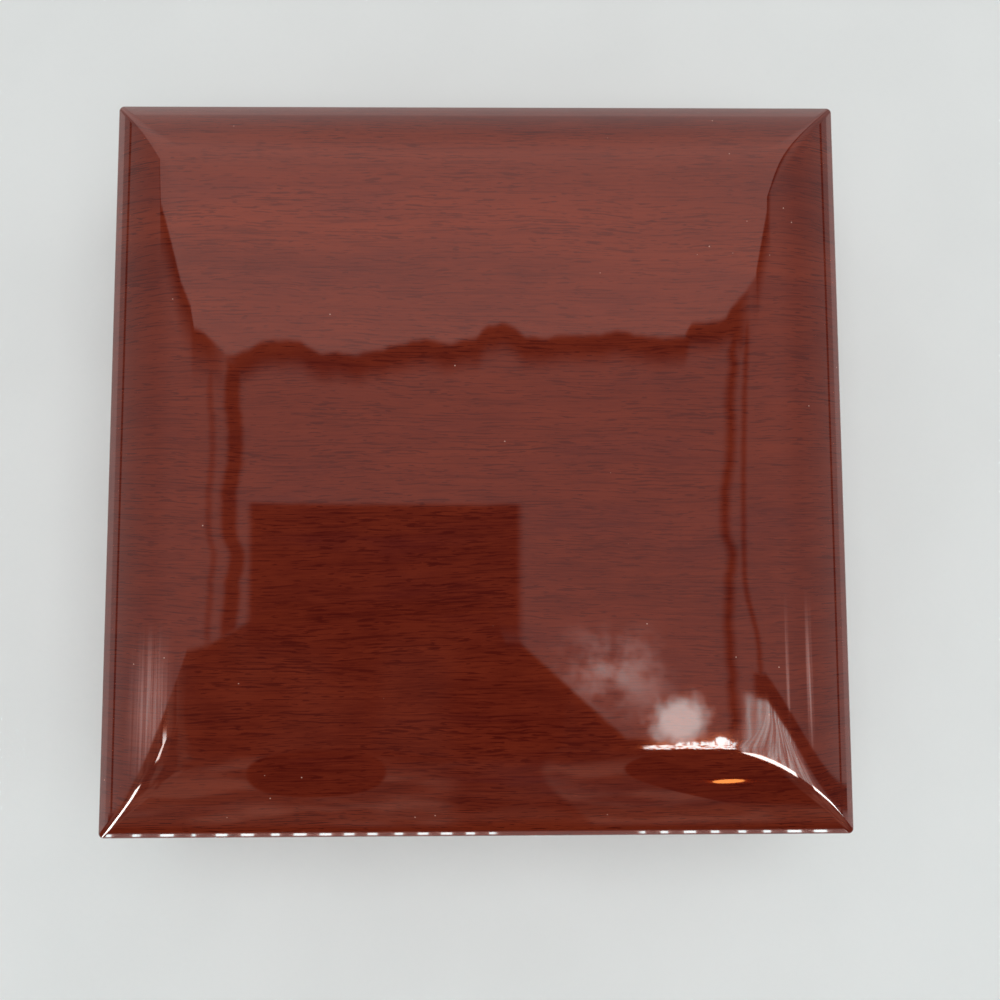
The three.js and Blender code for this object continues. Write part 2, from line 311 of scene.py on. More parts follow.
def lacquered_veneer(name, axis):
    """Clear gloss lacquer over red-brown veneer whose grain runs along that axis."""
    finish = Finish(name, {
        "Roughness": 0.05,
        "Specular IOR Level": 0.65,
        "Specular Tint": (1, 0.14, 0.03, 1),
        "Coat Weight": 1,
        "Coat Roughness": 0.015,
        "Coat IOR": 1.5,
    })
    tree = finish.tree
    still = finish.place()
    drift = (grain_noise(still, axis, 70, 45, 1) - 0.5) * 6
    ripple = (grain_noise(still, axis, 16, 14, 2) - 0.5) * 1.1
    across = unrolled_across(finish, axis) + drift + ripple
    along = still.parts()[axis]
    place = joined(tree, along, across, 0) if axis == 0 else joined(tree, across, along, 0)

    # Broad bands and clouds first, then the finer marks, and the dark pores last
    deep = srgb(77, 18, 11)
    middle = srgb(92, 27, 16)
    light = srgb(114, 41, 23)
    purple = srgb(70, 18, 23)
    dark = srgb(68, 13, 9)
    # Painted shade and light, laid across the grain: a broad darker band from the front over the middle,
    # lighter bands near both ends and a darker strip just inside the front one stand for how the light
    # fell on the lid, not for the wood's own tone.
    painted_front_shade = across.rise(-96, -82) * across.rise(50, -5)
    painted_bevel_light = across.near(90, 14) * 0.8 + across.near(-104, 14) * 0.8
    shaded = across.near(-84, 11) * 0.8
    bands = grain_noise(place, axis, 190, 26, 3, 1.5).rise(0.36, 0.68)
    bands = bands.towards(0.1, painted_front_shade * 0.75).towards(1, painted_bevel_light).towards(0, shaded)
    clouds = grain_noise(place, axis, 75, 13, 10, 2).rise(0.5, 0.72)
    flames = grain_noise(place, axis, 17, 6, 13, 2, 0.6).rise(0.35, 0.68)
    veins = grain_noise(place, axis, 60, 2.4, 4, 4, 0.62).rise(0.36, 0.64)
    fibres = grain_noise(place, axis, 7, 0.3, 5, 3, 0.65).rise(0.3, 0.72)
    colour = blended(tree, bands, deep, light)
    colour = blended(tree, clouds * 0.6, colour, purple)
    colour = blended(tree, flames * 0.45, colour, light)
    colour = blended(tree, veins * 0.45, colour, middle)
    colour = blended(tree, fibres * 0.45, colour, light)

    clusters = grain_noise(place, axis, 30, 6, 6, 1).rise(0.35, 0.7)
    long_pores = (grain_noise(place, axis, 6.5, 0.46, 7, 0) + clusters * 0.08).rise(0.68, 0.76)
    short_pores = (grain_noise(place, axis, 3, 0.34, 12, 0) + clusters * 0.05).rise(0.7, 0.78)
    streaks = grain_noise(place, axis, 30, 0.5, 8, 3, 0.6).rise(0.5, 0.7)
    colour = blended(tree, long_pores * 0.75, colour, dark)
    colour = blended(tree, short_pores * 0.75, colour, dark)
    colour = blended(tree, streaks * 0.6, colour, dark)

    dust = still.per(7, 7, 7).cells().rise(0.034, 0.016)
    colour = blended(tree, dust * 0.75, colour, srgb(205, 165, 150))
    finish.drive("Base Color", colour)
    orange_peel = grain_noise(still, axis, 5, 3.4, 9, 1)
    finish.emboss(orange_peel, 0.0012 * MM, "Coat Normal")
    return finish.material


def velvet():
    """Short champagne pile that lies in slightly different directions from place to place."""
    finish = Finish("champagne_velvet", {
        "Roughness": 0.95,
        "Specular IOR Level": 0.1,
        "Sheen Weight": 0.45,
        "Sheen Roughness": 0.4,
        "Sheen Tint": (1, 0.95, 0.86, 1),
    })
    tree = finish.tree
    place = finish.place()
    nap = place.per(24, 17, 20).noise(2, 0.6).rise(0.35, 0.68)
    pile = place.per(0.28, 0.28, 0.28).noise(2, 0.7)
    tufts = place.per(1.3, 1.3, 1.3).noise(2, 0.6)
    colour = blended(tree, nap, srgb(186, 166, 132), srgb(206, 188, 156))
    colour = blended(tree, tufts.rise(0.42, 0.7) * 0.35, colour, srgb(168, 146, 112))
    colour = blended(tree, pile.rise(0.4, 0.75) * 0.5, colour, srgb(222, 208, 180))
    finish.drive("Base Color", colour)
    finish.emboss(pile + tufts * 0.5, 0.22 * MM)
    return finish.material


def felt():
    """Dark brown felt of matted fibres."""
    finish = Finish("base_felt_fibres", {
        "Roughness": 1,
        "Specular IOR Level": 0.05,
        "Sheen Weight": 0.2,
        "Sheen Roughness": 0.6,
    })
    tree = finish.tree
    place = finish.place()
    fibres = place.per(0.9, 0.22, 0.5).noise(4, 0.7)
    crossing = place.stretched((1 / 0.2, 1 / 1.1, 1 / 0.5), (3, 5, 7)).noise(4, 0.7)
    mat = fibres * 0.5 + crossing * 0.5
    finish.drive("Base Color", blended(tree, mat.rise(0.35, 0.65), srgb(36, 27, 22), srgb(74, 60, 50)))
    finish.emboss(mat, 0.3 * MM)
    return finish.material


def stained_plywood():
    """Brown-stained plywood with open pores."""
    finish = Finish("stained_plywood", {"Roughness": 0.6, "Specular IOR Level": 0.3})
    tree = finish.tree
    place = finish.place()
    veins = grain_noise(place, 0, 70, 2.6, 11, 4, 0.6).rise(0.35, 0.68)
    pores = grain_noise(place, 0, 4, 0.3, 12, 1).rise(0.62, 0.72)
    colour = blended(tree, veins, srgb(92, 54, 36), srgb(128, 82, 56))
    finish.drive("Base Color", blended(tree, pores * 0.6, colour, srgb(48, 27, 19)))
    finish.emboss(-pores, 0.05 * MM)
    return finish.material


def brass():
    """Polished brass, a little duller where it has been handled, with hair scratches."""
    finish = Finish("hinge_brass", {"Metallic": 1})
    tree = finish.tree
    place = finish.place()
    tarnish = place.per(9, 9, 9).noise(2, 0.5).rise(0.45, 0.75)
    scratches = place.per(8, 0.12, 0.12).noise(2, 0.6)
    finish.drive("Base Color", blended(tree, tarnish * 0.35, srgb(232, 198, 126), srgb(196, 154, 88)))
    finish.drive("Roughness", tarnish * 0.1 + scratches.rise(0.5, 0.8) * 0.08 + 0.2)
    finish.emboss(scratches, 0.0012 * MM)
    return finish.material


def mirror_glass():
    """Clear glass, faintly green and smudged. Its index is low, so that its face mirrors little itself."""
    finish = Finish("mirror_glass", {"Transmission Weight": 1, "IOR": 1.04})
    tree = finish.tree
    place = finish.place()
    smudges = place.per(30, 22, 1).noise(4, 0.65).rise(0.52, 0.75)
    clean = (0.97, 1, 0.985, 1)
    smudged = (0.9, 0.94, 0.92, 1)
    finish.drive("Base Color", blended(tree, smudges * 0.3, clean, smudged))
    finish.drive("Roughness", smudges * 0.03)
    return finish.material


def silvering():
    """The silver film on the glass's back, a little dull in places."""
    finish = Finish("mirror_silver", {"Metallic": 1})
    tree = finish.tree
    clouds = finish.place().per(40, 34, 1).noise(3, 0.6).rise(0.45, 0.75)
    finish.drive("Base Color", blended(tree, clouds, srgb(248, 250, 250), srgb(240, 243, 243)))
    finish.drive("Roughness", clouds * 0.02)
    return finish.material


VENEER_ALONG_X = lacquered_veneer("veneer_grain_left_right", 0)
VENEER_ALONG_Y = lacquered_veneer("veneer_grain_front_back", 1)
VELVET = velvet()
FELT = felt()
PLYWOOD = stained_plywood()
BRASS = brass()
MIRROR_GLASS = mirror_glass()
SILVER = silvering()


# Mesh helpers, in metres

def add_piece(name, shape, body, materials, nodes, smooth_below=35):
    """Turns a bmesh into a smooth-shaded piece that rides on its body and stands for the CAD nodes."""
    bmesh.ops.remove_doubles(shape, verts=shape.verts, dist=WELD)
    bmesh.ops.recalc_face_normals(shape, faces=shape.faces)
    mesh = bpy.data.meshes.new(name)
    shape.to_mesh(mesh)
    shape.free()
    mesh.shade_smooth()
    mesh.set_sharp_from_angle(angle=math.radians(smooth_below))
    for material in materials:
        mesh.materials.append(material)
    piece = bpy.data.objects.new(name, mesh)
    bpy.context.scene.collection.objects.link(piece)
    add_face_normals(piece)
    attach(piece, body)
    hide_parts(*nodes)
    return piece


def add_face_normals(piece):
    """Large faces keep their own normals, so that small roundings beside them don't bend their gloss."""
    normals = piece.modifiers.new("face_normals", "WEIGHTED_NORMAL")
    normals.keep_sharp = True
    normals.weight = 100


def loft(shape, rings):
    """Joins each closed ring of points to the next with four-sided faces; gives the rings' vertices."""
    made = [[shape.verts.new(point) for point in ring] for ring in rings]
    for lower, upper in zip(made, made[1:]):
        for i in range(len(lower)):
            following = (i + 1) % len(lower)
            shape.faces.new((lower[i], lower[following], upper[following], upper[i]))
    return made


def quarter_turned(x, y, quarter):
    for _ in range(quarter):
        x, y = -y, x
    return x, y


def rounded_rectangle(middle, reach, radius, level, per_side, per_corner):
    """A level ring: each side in per_side steps, then the corner after it in per_corner steps."""
    points = []
    for quarter in range(4):
        along_reach, out_reach = reach if quarter % 2 == 0 else (reach[1], reach[0])
        along_end = along_reach - radius
        corner_out = out_reach - radius
        side = [
            (along_end * (2 * i / per_side - 1), -out_reach)
            for i in range(per_side)
        ]
        corner = []
        for i in range(per_corner):
            angle = math.pi / 2 * i / per_corner
            x = along_end + radius * math.sin(angle)
            corner.append((x, -corner_out - radius * math.cos(angle)))
        for x, y in side + corner:
            turned_x, turned_y = quarter_turned(x, y, quarter)
            points.append((middle[0] + turned_x, middle[1] + turned_y, level))
    return points


def cap_grid(shape, middle, reach, level, steps):
    """A level grid of faces that meets a ring with square corners at every step."""
    rows = []
    for j in range(steps + 1):
        y = middle[1] + reach[1] * (2 * j / steps - 1)
        row = [
            shape.verts.new((middle[0] + reach[0] * (2 * i / steps - 1), y, level))
            for i in range(steps + 1)
        ]
        rows.append(row)
    for lower, upper in zip(rows, rows[1:]):
        for i in range(steps):
            shape.faces.new((lower[i], lower[i + 1], upper[i + 1], upper[i]))


def stack(middle, reach, outline, radius_at, steps=24, corner_steps=6):
    """A closed body of level rings from the bottom cap, out and up, to the top cap.

    The outline gives each ring's inset from the full reach and its level. radius_at gives a ring's
    corner radius from its inset. Each cap starts with a ring whose corners are square."""
    shape = bmesh.new()
    rings = []
    first_inset, first_level = outline[0]
    last_inset, last_level = outline[-1]
    first_step = 2 * MM + radius_at(first_inset) / 2
    last_step = 2 * MM + radius_at(last_inset) / 2
    cap_rings = [(first_inset + first_step, first_level), (last_inset + last_step, last_level)]
    for inset, level in (cap_rings[0], *outline, cap_rings[1]):
        is_cap = (inset, level) in cap_rings
        ring_reach = (reach[0] - inset, reach[1] - inset)
        radius = 0 if is_cap else radius_at(inset)
        rings.append(rounded_rectangle(middle, ring_reach, radius, level, steps, corner_steps))
    loft(shape, rings)
    for inset, level in cap_rings:
        cap_grid(shape, middle, (reach[0] - inset, reach[1] - inset), level, steps)
    return shape


def slab_outline(low, high, edge, edge_steps=4):
    """The outline of a slab whose lower and upper edges are rounded."""
    outline = []
    for i in range(edge_steps + 1):
        angle = math.pi / 2 * i / edge_steps
        outline.append((edge * (1 - math.sin(angle)), low + edge * (1 - math.cos(angle))))
    return outline + [(inset, low + high - level) for inset, level in reversed(outline)]


def plan(node):
    """The middle and reach of a CAD node in plan, and its lowest and highest level."""
    low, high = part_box(node)
    middle = ((low.x + high.x) / 2, (low.y + high.y) / 2)
    reach = ((high.x - low.x) / 2, (high.y - low.y) / 2)
    return middle, reach, low.z, high.z


def slab(node, corner, edge, steps=24):
    """A slab that fills a CAD node's box, with rounded corners in plan and rounded edges."""
    least_radius = 0.02 * MM
    middle, reach, low, high = plan(node)
    outline = slab_outline(low, high, edge)
    return stack(middle, reach, outline, lambda inset: max(corner - inset, least_radius), steps)


def ruffle(shape, depth, wavelength, seed):
    """Moves every point a little along its normal, as cloth glued over a board or foam does."""
    shape.normal_update()
    offset = Vector((seed, seed * 2, seed * 3))
    moved = []
    for vertex in shape.verts:
        height = noise.noise(vertex.co / wavelength + offset)
        moved.append(vertex.co + vertex.normal * depth * height)
    for vertex, place in zip(shape.verts, moved):
        vertex.co = place


def rounded_section(corners, steps=5):
    """A closed section whose corners are rounded. Each corner is a point and its radius."""
    section = []
    count = len(corners)
    for i, (point, radius) in enumerate(corners):
        corner = Vector(point)
        before = (Vector(corners[i - 1][0]) - corner).normalized()
        after = (Vector(corners[(i + 1) % count][0]) - corner).normalized()
        if radius == 0:
            section.append(corner)
            continue
        half_angle = before.angle(after) / 2
        reach = radius / math.tan(half_angle)
        centre = corner + (before + after).normalized() * radius / math.sin(half_angle)
        start = (corner + before * reach - centre).normalized()
        end = (corner + after * reach - centre).normalized()
        for step in range(steps + 1):
            section.append(centre + start.slerp(end, step / steps) * radius)
    return section


# The lid

def pillow_outline(seam_level, crown_level):
    """From the seam over the rim's fillet and the bevel's long arc to where the flat top starts."""
    fillet_steps = 8
    bevel_steps = 44
    slope = 2 * math.atan(CROWN_RISE / BEVEL_WIDTH)
    bevel_radius = BEVEL_WIDTH / math.sin(slope)
    fillet_turn = math.pi / 2 - slope
    rim_level = crown_level - CROWN_RISE
    fillet_low = rim_level - RIM_FILLET * math.tan(fillet_turn / 2)
    outline = [(0, seam_level)]
    for i in range(fillet_steps + 1):
        angle = fillet_turn * i / fillet_steps
        inset = RIM_FILLET * (1 - math.cos(angle))
        outline.append((inset, fillet_low + RIM_FILLET * math.sin(angle)))
    fillet_inset = outline[-1][0]
    for i in range(1, bevel_steps + 1):
        angle = slope * (1 - i / bevel_steps)
        inset = BEVEL_WIDTH - bevel_radius * math.sin(angle)
        if inset > fillet_inset:
            outline.append((inset, crown_level - bevel_radius * (1 - math.cos(angle))))
    return outline, fillet_low


def add_lid_top():
    """The pillow: four bevels that meet in hips. Each hip is crisp at the rim and softer at the top."""
    softening = 9 * MM
    middle, reach, low, high = plan("lid_panel")
    outline, fillet_low = pillow_outline(low, high)

    def corner(inset):
        return CORNER_RADIUS + softening * (inset / BEVEL_WIDTH) ** 2

    shape = stack(middle, reach, outline, corner, 32, 20)
    shape.normal_update()
    for face in shape.faces:
        if face.calc_center_median().z < fillet_low and abs(face.normal.x) > abs(face.normal.y):
            face.material_index = 1
    materials = [VENEER_ALONG_X, VENEER_ALONG_Y]
    add_piece("lid_pillow_top", shape, "lid", materials, ["lid_panel"])


def add_lid_lining():
    """Padded velvet in the lid that swells round the mirror's edge."""
    swell = 0.8 * MM
    mirror_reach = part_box("lid_mirror")[1].x
    _, reach, low, high = plan("lid_lining")
    shape = slab("lid_lining", 0.6 * MM, 0.4 * MM, 64)
    band = reach[0] - mirror_reach
    for vertex in shape.verts:
        inset = reach[0] - max(abs(vertex.co.x), abs(vertex.co.y))
        share = inset / band
        if 0 < share < 1:
            depth = (high - vertex.co.z) / (high - low)
            vertex.co.z -= swell * math.sin(math.pi * share) ** 0.6 * depth
    piece = add_piece("lid_velvet_lining", shape, "lid", [VELVET], ["lid_lining"])


def add_mirror():
    """Glass silvered on its back, with ground edges and a wide polished bevel round its face."""
    bevel = 9 * MM
    bevel_drop = 0.45 * MM
    arris = 0.12 * MM
    glue = 0.05 * MM
    corner = 0.6 * MM
    middle, reach, low, back = plan("lid_mirror")
    high = back - glue
    outline = [
        (bevel, low),
        (arris, low + bevel_drop),
        (0, low + bevel_drop + arris),
        (0, high - arris),
        (arris, high),
    ]
    shape = stack(middle, reach, outline, lambda inset: corner, 12, 3)
    for face in shape.faces:
        if min(vertex.co.z for vertex in face.verts) > high - arris / 2:
            face.material_index = 1
    materials = [MIRROR_GLASS, SILVER]
    add_piece("lid_mirror_glass", shape, "lid", materials, ["lid_mirror"], 1)


# Velvet linings

def add_liner(tier, body, quarter):
    """One velvet-covered board, mitred at both ends, with a soft rounded lip above the wall."""
    node = f"{tier}_liner_{SIDES[quarter]}"
    low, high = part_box(node)
    wall_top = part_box(f"{tier}_wall_{SIDES[quarter]}")[1].z
    front_low, front_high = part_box(f"{tier}_liner_front")
    outer = HALF + front_low.y
    inner = HALF + front_high.y
    lip = outer + LIP_CLEARANCE
    section = rounded_section([
        ((outer, low.z), 0),
        ((outer, wall_top), 0.1 * MM),
        ((lip, wall_top), 0.15 * MM),
        ((lip, high.z), 0.8 * MM),
        ((inner, high.z), 1.0 * MM),
        ((inner, low.z), 0.3 * MM),
    ])
    stations = 60
    end_gap = 0.05 * MM
    rings = []
    for i in range(stations + 1):
        share = 2 * i / stations - 1
        ring = []
        for inset, level in section:
            x, y = quarter_turned(share * (HALF - inset - end_gap), inset - HALF, quarter)
            ring.append((x, y, level))
        rings.append(ring)
    shape = bmesh.new()
    made = loft(shape, rings)
    shape.faces.new(made[0])
    shape.faces.new(made[-1])
    ruffle(shape, 0.07 * MM, 9 * MM, 10 + quarter)
    name = f"{tier}_velvet_liner_{SIDES[quarter]}"
    add_piece(name, shape, body, [VELVET], [node], 50)


def bar_rings(section, axis, middle, length, end_round, stations):
    """Rings of a bar along an axis. Towards each end the section shrinks about its middle."""
    least_area = 0.3
    centre_side = sum(side for side, _ in section) / len(section)
    centre_level = sum(level for _, level in section) / len(section)
    rings = []
    for i in range(stations + 1):
        share = -math.cos(math.pi * i / stations)
        along = share * length / 2
        from_end = (length / 2 - abs(along)) / end_round
        scale = 1 if from_end >= 1 else math.sqrt(max(1 - (1 - from_end) ** 2, least_area))
        ring = []
        for side, level in section:
            across = centre_side + (side - centre_side) * scale
            height = centre_level + (level - centre_level) * scale
            if axis == 0:
                ring.append((middle[0] + along, middle[1] + across, height))
            else:
                ring.append((middle[0] - across, middle[1] + along, height))
        rings.append(ring)
    return rings


def add_divider(node, body, axis):
    """A thin velvet-covered board whose top is rounded over."""
    middle, reach, low, high = plan(node)
    thickness = 2 * reach[1 - axis]
    length = 2 * reach[axis]
    side = thickness / 2
    section = rounded_section([
        ((-side, low), 0.2 * MM),
        ((side, low), 0.2 * MM),
        ((side, high), side * 0.99),
        ((-side, high), side * 0.99),
    ], 6)
    shape = bmesh.new()
    made = loft(shape, bar_rings(section, axis, middle, length, 0.5 * MM, 48))
    shape.faces.new(made[0])
    shape.faces.new(made[-1])
    ruffle(shape, 0.07 * MM, 8 * MM, len(node))
    name = node.replace("divider", "velvet_divider")
    add_piece(name, shape, body, [VELVET], [node], 60)


def add_floor_pad(tier, body):
    """A thin pad that swells between the boards that press on it."""
    swell = 0.7 * MM
    press = 4 * MM
    node = f"{tier}_floor_pad"
    _, _, low, high = plan(node)
    pressed = [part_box(f"{tier}_divider_{name}") for name in ("long", "cross_left", "cross_right")]
    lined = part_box(f"{tier}_liner_right")[0].x
    shape = slab(node, 1 * MM, 0.45 * MM, 110)
    for vertex in shape.verts:
        if vertex.co.z < (low + high) / 2:
            continue
        x, y = vertex.co.x, vertex.co.y
        clear = min(lined - abs(x), lined - abs(y))
        for board_low, board_high in pressed:
            aside = max(board_low.x - x, x - board_high.x, board_low.y - y, y - board_high.y)
            clear = min(clear, aside)
        share = min(max(clear / press, 0), 1)
        vertex.co.z += swell * math.sin(math.pi / 2 * share)
    piece = add_piece(f"{tier}_velvet_floor", shape, body, [VELVET], [node], 60)


def add_ring_board():
    """The velvet-covered board that the ring rolls are glued to."""
    node = "ring_roll_board"
    shape = slab(node, 1 * MM, 0.3 * MM)
    add_piece("ring_velvet_board", shape, "upper_tier", [VELVET], [node])


def add_ring_roll(number):
    """A foam roll under velvet: flat foot, crowned back, and ends gathered in small pleats."""
    node = f"ring_roll_{number}"
    middle, reach, low, high = plan(node)
    half_width = reach[1] - 0.05 * MM
    height = high - low
    shoulder = low + height * 0.45
    around = 40
    section = []
    for i in range(around + 1):
        angle = math.pi * i / around
        bulge = math.sin(angle) ** 0.8
        section.append((half_width * math.cos(angle), shoulder + (high - shoulder) * bulge))
    waist = half_width * 0.98
    waist_level = low + height * 0.2
    foot = half_width * 0.8
    section += [(-waist, waist_level), (-foot, low), (foot, low), (waist, waist_level)]

    end_round = 5 * MM
    pleats = 9
    pleat_depth = 0.22 * MM
    least_area = 0.02
    end_rise = 0.12
    stations = 90
    length = 2 * reach[0]
    rings = []
    for i in range(stations + 1):
        share = -math.cos(math.pi * i / stations)
        along = share * length / 2
        from_end = min((length / 2 - abs(along)) / end_round, 1)
        scale = math.sqrt(max(1 - (1 - from_end) ** 2, least_area))
        gather = pleat_depth * (1 - from_end) * scale
        ring = []
        for j, (side, level) in enumerate(section):
            pleat = gather * math.sin(pleats * 2 * math.pi * j / len(section) + number)
            across = side * scale * (1 + pleat / half_width)
            rise = low + (level - low) * (end_rise + (1 - end_rise) * scale) + pleat * 0.5
            ring.append((middle[0] + along, middle[1] + across, max(rise, low)))
        rings.append(ring)
    shape = bmesh.new()
    made = loft(shape, rings)
    shape.faces.new(made[0])
    shape.faces.new(made[-1])
    ruffle(shape, 0.16 * MM, 14 * MM, 30 + number)
    name = f"velvet_ring_roll_{number}"
    piece = add_piece(name, shape, "upper_tier", [VELVET], [node], 60)


def add_felt():
    """The felt sheet under the base, a little uneven but nowhere below the table."""
    shape = slab("base_felt", 1.5 * MM, 0.5 * MM, 60)
    ruffle(shape, 0.12 * MM, 2.5 * MM, 50)
    for vertex in shape.verts:
        vertex.co.z = max(vertex.co.z, 0)
    add_piece("base_felt_sheet", shape, "base_tier", [FELT], ["base_felt"])


# CAD nodes that stay

def smoothing_group():
    """Geometry nodes that join a node's loose triangles and smooth all but its real edges."""
    group = bpy.data.node_groups.new("join_and_smooth", "GeometryNodeTree")
    group.interface.new_socket("Geometry", in_out="INPUT", socket_type="NodeSocketGeometry")
    group.interface.new_socket("Geometry", in_out="OUTPUT", socket_type="NodeSocketGeometry")
    source = group.nodes.new("NodeGroupInput")
    result = group.nodes.new("NodeGroupOutput")
    merge = group.nodes.new("GeometryNodeMergeByDistance")
    merge.inputs["Distance"].default_value = NODE_WELD
    faces = group.nodes.new("GeometryNodeSetShadeSmooth")
    edges = group.nodes.new("GeometryNodeSetShadeSmooth")
    edges.domain = "EDGE"
    angle = group.nodes.new("GeometryNodeInputMeshEdgeAngle")
    compare = group.nodes.new("FunctionNodeCompare")
    compare.operation = "LESS_THAN"
    compare.inputs[1].default_value = math.radians(30)
    group.links.new(angle.outputs["Unsigned Angle"], compare.inputs[0])
    group.links.new(compare.outputs[0], edges.inputs["Shade Smooth"])
    group.links.new(source.outputs[0], merge.inputs["Geometry"])
    group.links.new(merge.outputs[0], faces.inputs["Geometry"])
    group.links.new(faces.outputs[0], edges.inputs["Geometry"])
    group.links.new(edges.outputs[0], result.inputs[0])
    return group


SMOOTHING = smoothing_group()


def dress_node(name, material, edge_bevel=0):
    """Gives a CAD node its finish, smooth roundings and, where asked, a small bevel on its edges."""
    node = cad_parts[name]
    node.data.materials.clear()
    node.data.materials.append(material)
    custom = node.data.attributes.get("custom_normal")
    if custom:
        node.data.attributes.remove(custom)
    smoothing = node.modifiers.new("join_and_smooth", "NODES")
    smoothing.node_group = SMOOTHING
    if edge_bevel:
        bevel = node.modifiers.new("worn_edges", "BEVEL")
        bevel.width = edge_bevel
        bevel.segments = 2
        bevel.limit_method = "ANGLE"
        bevel.angle_limit = math.radians(40)
    add_face_normals(node)


def dress_nodes():
    """Veneer on the walls and the lid's sides, plywood on the bottoms and brass on the hinges."""
    for prefix in ("base_wall", "upper_wall", "lid_rail"):
        for quarter, side in enumerate(SIDES):
            dress_node(f"{prefix}_{side}", (VENEER_ALONG_X, VENEER_ALONG_Y)[quarter % 2])
    for tier in ("base", "upper"):
        dress_node(f"{tier}_bottom_panel", PLYWOOD, 0.2 * MM)
    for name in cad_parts:
        if name.startswith("hinge_"):
            dress_node(name, BRASS, 0.07 * MM)


# The studio

# What only gloss sees: a pattern over the directions round the box, with x to the right, y to the back
# and z up, each from -1 to 1. Its lines and lights stand where the lacquer mirrors them in the
# photograph. Light is given as a multiple of plain white.
SIDE_LIGHT = 0.6
BACK_LIGHT = 1
DARK_LINE_LIGHT = 0.03
CARD_LIGHT = 0.04
LENS_LIGHT = 0.02
WINDOW_LIGHT = 2.6
LONG_LAMP_LIGHT = 24
PATCH_LIGHT = 7.5
HIP_LIGHT = 25
STROKE_LIGHT = 14
DASH_LIGHT = 11
GLINT_LIGHT = 12


def back_seam(tree, x, y, inside):
    """Where the seam across the back runs: it waves, and is raised over four stretches."""
    raised = (
        (-0.258, -0.225, -0.196, -0.168, 0.014),
        (-0.15, -0.06, 0.06, 0.2, 0.009),
        (-0.012, 0.002, 0.026, 0.042, 0.009),
        (0.2, 0.208, 0.24, 0.27, 0.011),
    )
    wobble = joined(tree, x * 24, y * 3, 0.5).noise(2) - 0.5
    line = wobble * inside * 0.026 + x * 0.05 + 0.234
    for *stretch, height in raised:
        line = line + x.between(*stretch) * height
    return line


def beyond_seam(x, y, back_line):
    """How far a direction lies beyond the seam, which turns towards the back corners at both sides."""
    left = -x
    left_turn = left.ramp(0.262, 0.02, 1) + left.ramp(0.282, 0.06, 0.45) + left.ramp(0.342, 0.35, 0.22)
    left_turn = left_turn + left.ramp(0.47, 0.25, 0.12) + left.rise(0.7, 0.76) * 0.35
    right_turn = x.ramp(0.24, 0.03, 1.7) + x.ramp(0.27, 1, 0.3)
    right_side = y * 0.3 - x + 0.315
    return (y - back_line - left_turn - right_turn).least(right_side)


def wall_light(y, aside, behind):
    """Plain walls, brighter behind the seam and fading far back and far to the sides."""
    light = behind * (BACK_LIGHT - SIDE_LIGHT) + SIDE_LIGHT - y.rise(0.7, 0.95) * 0.42
    return light - aside.rise(0.5, 0.8) * (y.rise(0, 0.35) * 0.12 + 0.12)


def window_light(tree, x, y, z, band_line):
    """Curtained windows at both sides, two tall streaks and a soft haze."""
    clouds = joined(tree, x * 22, y * 22, z * 3).noise(3, 0.6).rise(0.4, 0.7)
    curtain = joined(tree, x * 55, y * 5, z * 2).noise(3, 0.6).rise(0.35, 0.68)
    haze = x.near(0.13, 0.08) * y.near(-0.1, 0.06) * clouds
    left_window = x.near(-0.7, 0.26) * y.near(-0.13, 0.09) * (curtain + 0.25)
    tall_streaks = (x.near(0.56, 0.03) + x.near(0.8, 0.04)) * y.near(-0.1, 0.09) * (curtain + 0.2)
    right_window = (y - band_line).rise(0, -0.012) * x.between(0.25, 0.26, 0.5, 0.75)
    light = haze * 3 + (left_window + tall_streaks) * WINDOW_LIGHT
    return light + right_window * (curtain * 4.5 + 0.8)


def front_edge(x, right_front):
    """Where the dark area at the front ends: a bent line that steps down to the right."""
    left_front = (-x).ramp(0.28, 1, -0.22) + x.ramp(-0.28, 0.07, 0.6) * x.rise(0.02, 0) - 0.07
    middle_front = x.ramp(0.032, 0.108, -0.9)
    return (left_front + middle_front).towards(right_front, x.rise(0.24, 0.25))


def front_light(tree, x, y, z):
    """The dark area's faint light: vague shapes, one fold, a paler foot and two darker lenses."""
    shapes = joined(tree, x * 9, y * 5, z * 2).noise(2, 0.5).rise(0.4, 0.62)
    light = (shapes * 0.36 + 0.2) * z.rise(0.1, 0.34) * (z.rise(0.97, 0.86) * 0.8 + 0.2)
    fold = x - (y + 0.49).squared() * 0.2 - 0.055
    light = light * (fold.rise(0.006, -0.006) * x.rise(-0.06, -0.02) * -0.7 + 1)
    light = light + z.rise(0.07, 0.03) * 0.6
    left_lens = (x.near(-0.17, 0.09) * y.near(-0.5, 0.36)).rise(0.13, 0.19)
    right_lens = (x - (y + 0.481).squared() * 0.78 - 0.135).rise(-0.001, 0.004)
    right_lens = right_lens * y.rise(-0.87, -0.81) * x.rise(0.42, 0.34)
    return light.towards(LENS_LIGHT, right_lens.most(left_lens))


